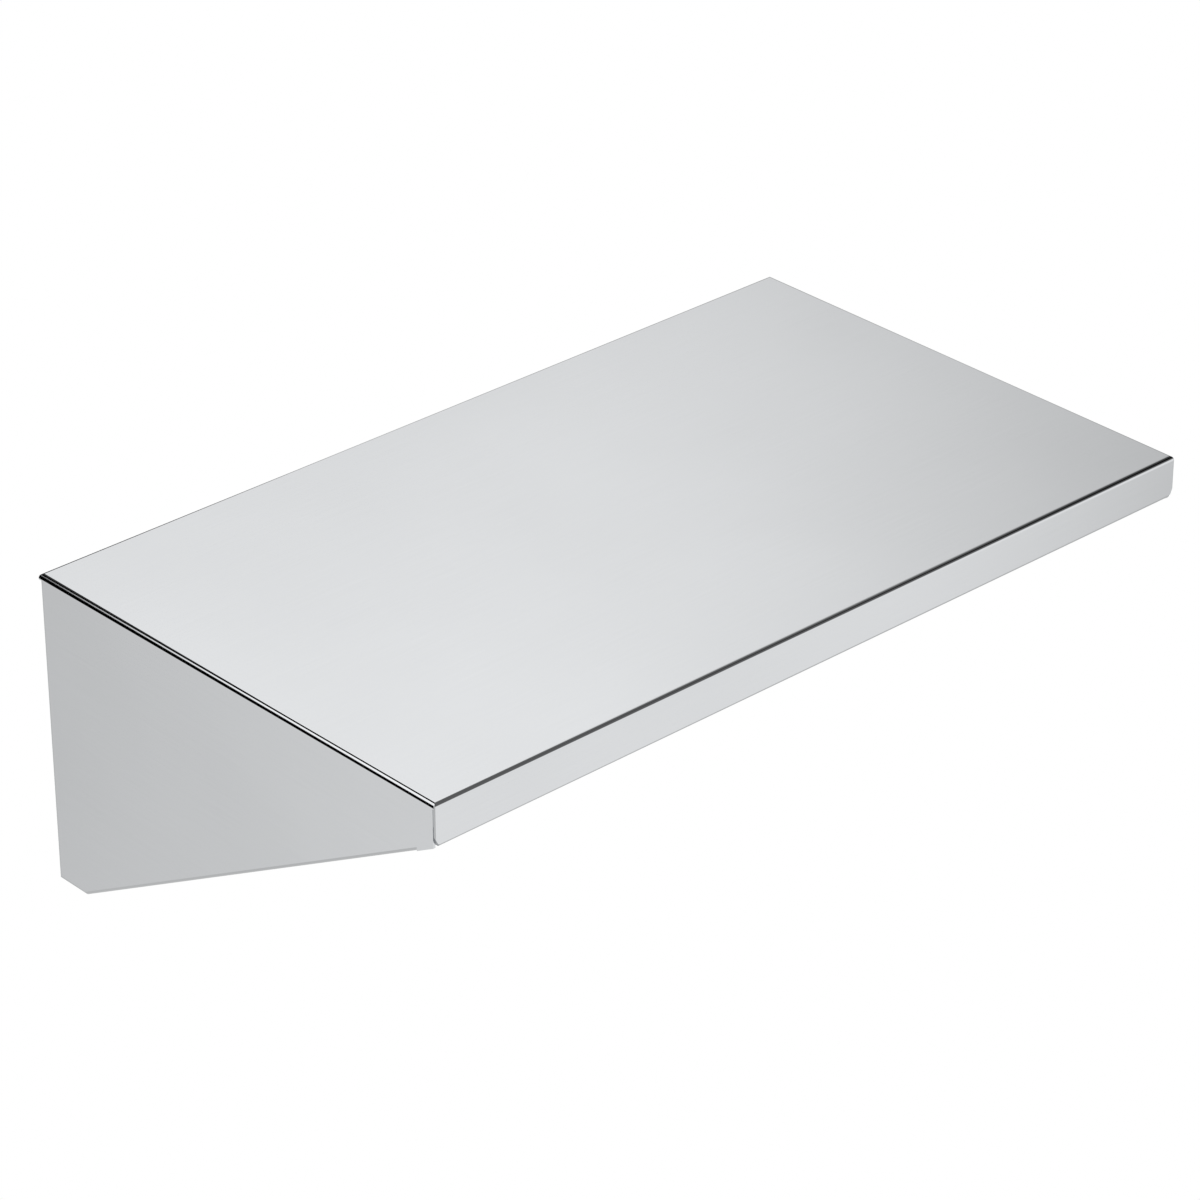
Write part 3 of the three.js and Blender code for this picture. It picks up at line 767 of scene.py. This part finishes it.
def stud_profile():
    """Half the stud's section, from its flat base up its shank to its chamfered tip."""
    radius = STUD_DIAMETER / 2
    straight = stud_length - STUD_TIP_CHAMFER - STUD_BASE_THICKNESS
    rows = round(straight / THREAD_PITCH * THREAD_ROWS_PER_TURN)
    profile = [
        (stud_base - STUD_BASE_EASING, 0), (stud_base, STUD_BASE_EASING),
        (stud_base, STUD_BASE_THICKNESS - STUD_BASE_EASING),
        (stud_base - STUD_BASE_EASING, STUD_BASE_THICKNESS),
    ]
    for i in range(rows + 1):
        profile.append((radius, STUD_BASE_THICKNESS + straight * i / rows))
    profile.append((radius - STUD_TIP_CHAMFER, stud_length))
    return profile


def copies_of(template, kind, material):
    """One piece with the template standing on every seat of its kind."""
    tree, given = geometry_tree(kind, {"Piece": "NodeSocketObject"})
    piece = add(tree, "GeometryNodeObjectInfo", {"Object": given["Piece"]}).outputs["Geometry"]
    stand_on_seats(tree, given["Geometry"], piece, material)
    made = made_real(seats_object(kind + "s", seats_of(kind)), tree, {"Piece": template})
    bpy.data.objects.remove(template)
    return made


stud_steel = brushed_steel(
    "stud_steel", colour=(0.60, 0.60, 0.60), roughness=0.24,
    stretch=(60.0, 60.0, 60.0), grain_depth=0.05, cloud_depth=0.06,
)
stud = turned_solid("stud", stud_profile(), AROUND_STUD, thread_ripple)
replace_all(copies_of(stud, "weld_stud", stud_steel), "weld_stud")

# -------------------------------------------------------------------------------------------------
# Washers: plain stamped washers of stainless steel, one under each nut, with the rounded edge that
# the punch leaves on one side.
washer_low, washer_high = [Vector(corner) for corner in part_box("washer_left_1")]
washer_radius = (washer_high.x - washer_low.x) / 2
washer_thickness = washer_high.z - washer_low.z
THREAD_HOLE_RADIUS = 2.65 * MM
STAMPED_EDGE = 0.3 * MM
AROUND_WASHER = 64

washer_steel = brushed_steel(
    "washer_steel", colour=(0.64, 0.645, 0.65), roughness=0.22,
    stretch=(300.0, 300.0, 300.0), grain_depth=0.04, cloud_depth=0.05,
)
washer_tree, washer_input = geometry_tree(
    "washer",
    {"Inner radius": "NodeSocketFloat", "Outer radius": "NodeSocketFloat",
     "Thickness": "NodeSocketFloat", "Edge": "NodeSocketFloat"},
)
width_of_ring = add(
    washer_tree, "ShaderNodeMath",
    {0: washer_input["Outer radius"], 1: washer_input["Inner radius"]}, operation="SUBTRACT",
).outputs[0]
sum_of_radii = add(
    washer_tree, "ShaderNodeMath",
    {0: washer_input["Outer radius"], 1: washer_input["Inner radius"]}, operation="ADD",
).outputs[0]
mid_radius = add(
    washer_tree, "ShaderNodeMath", {0: sum_of_radii, 1: 0.5}, operation="MULTIPLY"
).outputs[0]
mid_height = add(
    washer_tree, "ShaderNodeMath", {0: washer_input["Thickness"], 1: 0.5}, operation="MULTIPLY"
).outputs[0]
ring_curve = add(
    washer_tree, "GeometryNodeCurvePrimitiveCircle",
    {"Resolution": AROUND_WASHER, "Radius": mid_radius},
).outputs["Curve"]
ring_section = add(
    washer_tree, "GeometryNodeCurvePrimitiveQuadrilateral",
    {"Width": width_of_ring, "Height": washer_input["Thickness"]},
).outputs["Curve"]
eased_section = add(
    washer_tree, "GeometryNodeFilletCurve",
    {"Curve": ring_section, "Count": 3, "Radius": washer_input["Edge"]}, mode="POLY",
).outputs["Curve"]
ring_solid = add(
    washer_tree, "GeometryNodeCurveToMesh", {"Curve": ring_curve, "Profile Curve": eased_section}
).outputs["Mesh"]
lift = add(washer_tree, "ShaderNodeCombineXYZ", {"Z": mid_height}).outputs["Vector"]
seated = add(
    washer_tree, "GeometryNodeTransform", {"Geometry": ring_solid, "Translation": lift}
).outputs["Geometry"]
stand_on_seats(washer_tree, washer_input["Geometry"], seated, washer_steel)
washers = made_real(
    seats_object("washers", seats_of("washer")), washer_tree,
    {"Inner radius": THREAD_HOLE_RADIUS, "Outer radius": washer_radius,
     "Thickness": washer_thickness, "Edge": STAMPED_EDGE},
)
replace_all(washers, "washer")

# -------------------------------------------------------------------------------------------------
# Hex nuts: M5 stainless nuts, pressed from hexagonal bar, with turned chamfers on the outer corners
# and at both ends of the threaded hole.
NUT_ACROSS_FLATS = 8 * MM
NUT_CORNER_CHAMFER = 0.45 * MM
NUT_HOLE_CHAMFER = 0.4 * MM
AROUND_NUT = 96
nut_low, nut_high = [Vector(corner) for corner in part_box("hex_nut_left_1")]
nut_height = nut_high.z - nut_low.z


def nut_template():
    """The hexagon within a turned blank, less the chamfered hole."""
    corner, flat = NUT_ACROSS_FLATS / math.sqrt(3), NUT_ACROSS_FLATS / 2
    hexagon = prism(arc((0, 0), corner, 30, 330, 5), nut_height, Matrix.Identity(3), Vector())
    rim = corner + NUT_CORNER_CHAMFER
    blank = turned_solid(
        "blank",
        [(2 * flat - rim, -NUT_CORNER_CHAMFER), (rim, NUT_CORNER_CHAMFER),
         (rim, nut_height - NUT_CORNER_CHAMFER), (2 * flat - rim, nut_height + NUT_CORNER_CHAMFER)],
        AROUND_NUT,
    )
    combine(hexagon, blank, "INTERSECT")
    wide = THREAD_HOLE_RADIUS + NUT_HOLE_CHAMFER
    hole = turned_solid(
        "hole",
        [(wide + PAST, -PAST), (wide, 0), (THREAD_HOLE_RADIUS, NUT_HOLE_CHAMFER),
         (THREAD_HOLE_RADIUS, nut_height - NUT_HOLE_CHAMFER), (wide, nut_height),
         (wide + PAST, nut_height + PAST)],
        AROUND_NUT // 2,
    )
    combine(hexagon, hole, "DIFFERENCE")
    return hexagon


nut_steel = brushed_steel(
    "nut_steel", colour=(0.62, 0.62, 0.615), roughness=0.26,
    stretch=(400.0, 400.0, 60.0), grain_depth=0.05, cloud_depth=0.06,
)
replace_all(copies_of(nut_template(), "hex_nut", nut_steel), "hex_nut")

# -------------------------------------------------------------------------------------------------
# Camera: a long lens above the front left corner, which takes in the whole shelf.
CAMERA_AZIMUTH = math.radians(42.65)
CAMERA_ELEVATION = math.radians(29.10)
CAMERA_ROLL = math.radians(0.12)
CAMERA_DISTANCE = 2.7583
CAMERA_AIM_RIGHT = -0.0107
CAMERA_AIM_UP = 0.0377
CAMERA_LENS = 145.58      # mm, on a sensor 36 mm wide
CAMERA_SENSOR = 36

level = math.cos(CAMERA_ELEVATION)
forward = Vector((
    math.sin(CAMERA_AZIMUTH) * level,
    math.cos(CAMERA_AZIMUTH) * level,
    -math.sin(CAMERA_ELEVATION),
))
sideways = forward.cross(Vector((0, 0, 1))).normalized()
sideways = Matrix.Rotation(CAMERA_ROLL, 3, forward) @ sideways
upward = sideways.cross(forward)
middle = (cad_low + cad_high) / 2
aim = middle + sideways * CAMERA_AIM_RIGHT + upward * CAMERA_AIM_UP
lens = bpy.data.cameras.new("camera")
lens.lens = CAMERA_LENS
lens.sensor_width = CAMERA_SENSOR
lens.clip_start = 0.05
lens.clip_end = 100
camera = bpy.data.objects.new("camera", lens)
bpy.context.scene.collection.objects.link(camera)
axes = Matrix((sideways, upward, -forward)).transposed()
camera.matrix_world = Matrix.Translation(aim - forward * CAMERA_DISTANCE) @ axes.to_4x4()
bpy.context.scene.camera = camera

# -------------------------------------------------------------------------------------------------
# Studio: a plain white floor, and a dome of soft white panels and black cards, as a studio stands
# round polished metal. Each panel spans an azimuth and an elevation in degrees.
FLOOR_DROP = 3.0
FLOOR_REACH = 40

world = bpy.data.worlds.new("studio")
bpy.context.scene.world = world
world.use_nodes = True
dome = world.node_tree
dome.nodes.clear()
direction = add(dome, "ShaderNodeTexCoord").outputs["Generated"]
parts = add(dome, "ShaderNodeSeparateXYZ", {"Vector": direction}).outputs
turn = add(dome, "ShaderNodeMath", {0: parts["X"], 1: parts["Y"]}, operation="ARCTAN2").outputs[0]
rise = add(dome, "ShaderNodeMath", {0: parts["Z"]}, operation="ARCSINE").outputs[0]
azimuth = add(dome, "ShaderNodeMath", {0: turn}, operation="DEGREES").outputs[0]
elevation = add(dome, "ShaderNodeMath", {0: rise}, operation="DEGREES").outputs[0]


def soft_step(value, start, end):
    """0 before the start and 1 past the end, with a soft rise between them."""
    return add(
        dome, "ShaderNodeMapRange",
        {"Value": value, "From Min": start, "From Max": end},
        interpolation_type="SMOOTHSTEP",
    ).outputs["Result"]


def panel(behind, across, upwards, soft, light, lean):
    """Lays one soft-edged panel or card over what is behind it; it may lean with its azimuth."""
    height = add(
        dome, "ShaderNodeMath", {0: azimuth, 1: -lean, 2: elevation}, operation="MULTIPLY_ADD"
    ).outputs[0]
    edges = [
        soft_step(azimuth, across[0] - soft[0], across[0] + soft[0]),
        soft_step(azimuth, across[1] + soft[0], across[1] - soft[0]),
        soft_step(height, upwards[0] - soft[1], upwards[0] + soft[1]),
        soft_step(height, upwards[1] + soft[1], upwards[1] - soft[1]),
    ]
    mask = edges[0]
    for edge in edges[1:]:
        mask = add(dome, "ShaderNodeMath", {0: mask, 1: edge}, operation="MULTIPLY").outputs[0]
    return add(dome, "ShaderNodeMix", {"Factor": mask, 2: behind, 3: light}).outputs[0]


shade = add(
    dome, "ShaderNodeMapRange",
    {"Value": elevation, "From Min": -60.0, "From Max": 60.0, "To Min": 0.62, "To Max": 0.5},
).outputs["Result"]
for across, upwards, soft, light, lean in (
    ((29, 74), (0, 60), (4, 4), 0.42, 0.0),        # end of the wide light behind
    ((24, 49.5), (22, 75), (8, 12), 1.08, 0.0),    # wide light behind, which the top face shows
    ((66, 150), (12, 62), (4, 4), 0.14, 0.0),      # cards in front, which darken the front fold
    ((66, 128), (20, 47), (4, 4), 0.0, 0.0),
    ((-80, 33.5), (-22, 62), (1.5, 3), 0.0, 0.0),  # black card, which edges the left side fold
    ((-22, 24), (-14, 30), (6, 6), 0.45, 0.0),     # grey wall low behind, for the faces on the wall
    ((-75, -17), (61.2, 110), (3, 2.5), 1.25, 0.87),   # strip light that leans over the black card
    ((-70, -25), (-43, -25), (3, 3), 0.66, 0.0),   # floor behind on the left, which the web shows
    ((-70, -37), (-43, -25), (5, 5), 0.86, 0.0),
    ((122, 170), (-43, 13), (3, 3), 0.30, 0.0),    # floor and low light, which the lip shows
    ((128.5, 170), (-43, 11), (6, 5), 0.96, 0.0),
):
    shade = panel(shade, across, upwards, soft, light, lean)
seen = add(dome, "ShaderNodeLightPath").outputs["Is Camera Ray"]
shade = add(dome, "ShaderNodeMix", {"Factor": seen, 2: shade, 3: 1.0}).outputs[0]
background = add(dome, "ShaderNodeBackground", {"Color": shade, "Strength": 1.0})
add(dome, "ShaderNodeOutputWorld", {"Surface": background.outputs["Background"]})

floor_height = cad_low.z - FLOOR_DROP
floor_mesh = bpy.data.meshes.new("floor")
floor_mesh.from_pydata(
    [(x, y, floor_height) for x, y in (
        (-FLOOR_REACH, -FLOOR_REACH), (FLOOR_REACH, -FLOOR_REACH),
        (FLOOR_REACH, FLOOR_REACH), (-FLOOR_REACH, FLOOR_REACH),
    )], [], [(0, 1, 2, 3)],
)
floor = bpy.data.objects.new("floor", floor_mesh)
bpy.context.scene.collection.objects.link(floor)
floor.visible_glossy = False
floor_paint = bpy.data.materials.new("floor_paint")
floor_paint.use_nodes = True
paint = floor_paint.node_tree
paint.nodes.clear()
glow = add(paint, "ShaderNodeEmission", {"Color": (1.0, 1.0, 1.0, 1.0), "Strength": 1.0})
add(paint, "ShaderNodeOutputMaterial", {"Surface": glow.outputs["Emission"]})
floor_mesh.materials.append(floor_paint)
bpy.context.scene.view_settings.view_transform = "Standard"
